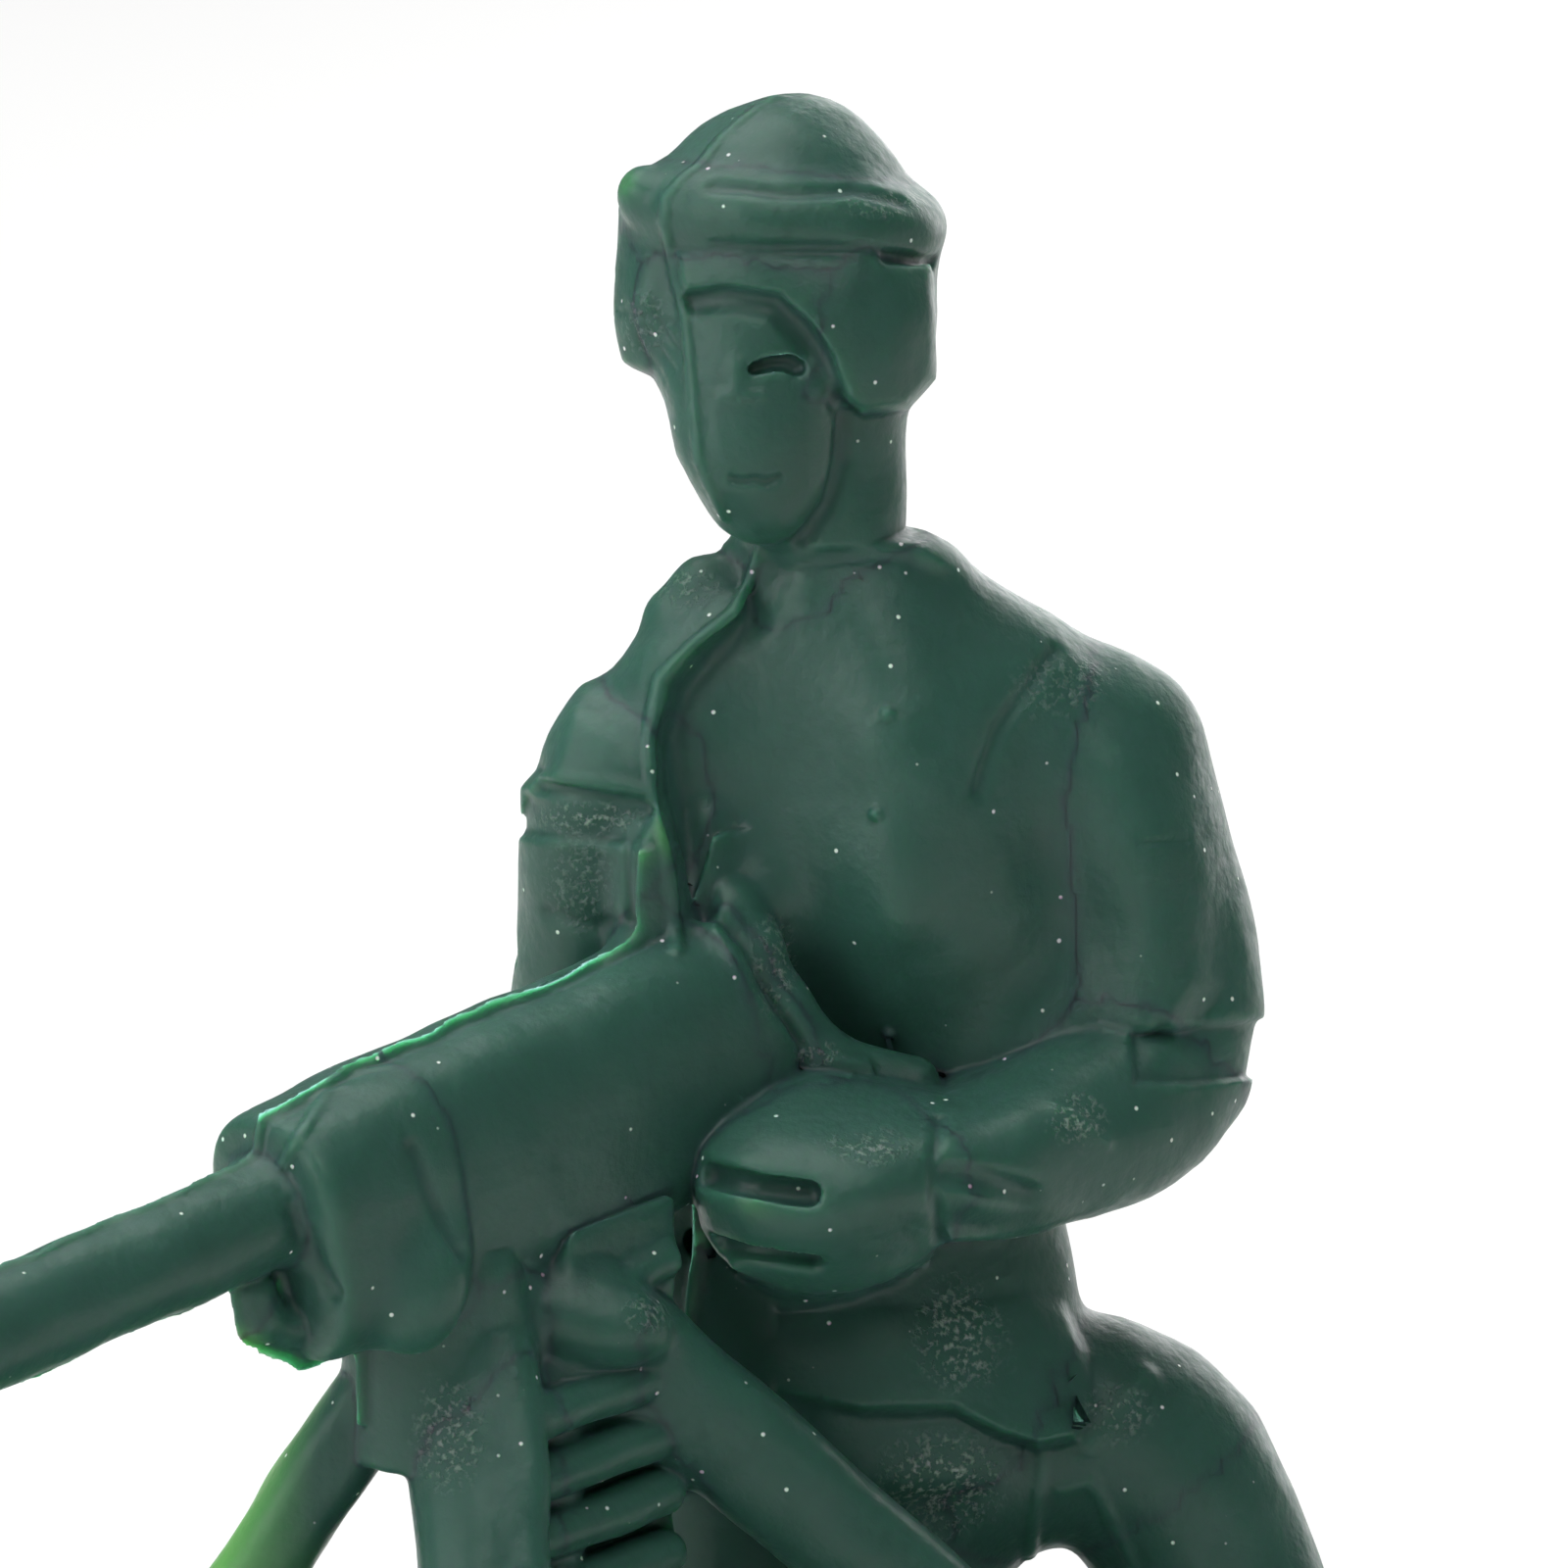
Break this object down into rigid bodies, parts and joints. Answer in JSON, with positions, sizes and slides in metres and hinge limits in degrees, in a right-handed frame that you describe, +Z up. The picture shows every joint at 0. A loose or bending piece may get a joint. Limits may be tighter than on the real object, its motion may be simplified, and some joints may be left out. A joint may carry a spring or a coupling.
{
  "type": "toy soldier figure",
  "caption": "Moulded toy soldier in a cap with ear flaps, kneeling behind a belt-fed gun on a tripod, on an oval ground plate.",
  "frame": {"origin": "centre of the ground plate's underside", "axes": "+Z up, the gun's barrel points along -X, the chest faces -Y and a little towards -X"},
  "size_m": [0.0408, 0.034, 0.0401],
  "materials": {
    "green_polyethylene": "waxy semi-matte moulded polyethylene, dark green"
  },
  "bodies": {
    "root": {"base": "green_polyethylene", "cap_crown": "green_polyethylene", "cap_brim": "green_polyethylene", "left_ear_flap": "green_polyethylene", "right_ear_flap": "green_polyethylene", "head": "green_polyethylene", "torso": "green_polyethylene", "jacket_skirt": "green_polyethylene", "left_upper_arm": "green_polyethylene", "left_forearm": "green_polyethylene", "left_hand": "green_polyethylene", "right_upper_arm": "green_polyethylene", "right_forearm": "green_polyethylene", "right_hand": "green_polyethylene", "left_thigh": "green_polyethylene", "left_shin": "green_polyethylene", "left_boot": "green_polyethylene", "right_thigh": "green_polyethylene", "right_shin": "green_polyethylene", "right_boot": "green_polyethylene", "gun_receiver": "green_polyethylene", "gun_front_housing": "green_polyethylene", "gun_barrel": "green_polyethylene", "gun_back_plate": "green_polyethylene", "ammo_belt": "green_polyethylene", "tripod_head": "green_polyethylene", "tripod_front_leg_near": "green_polyethylene", "tripod_front_leg_far": "green_polyethylene", "tripod_rear_leg": "green_polyethylene"}
  },
  "joints": []
}
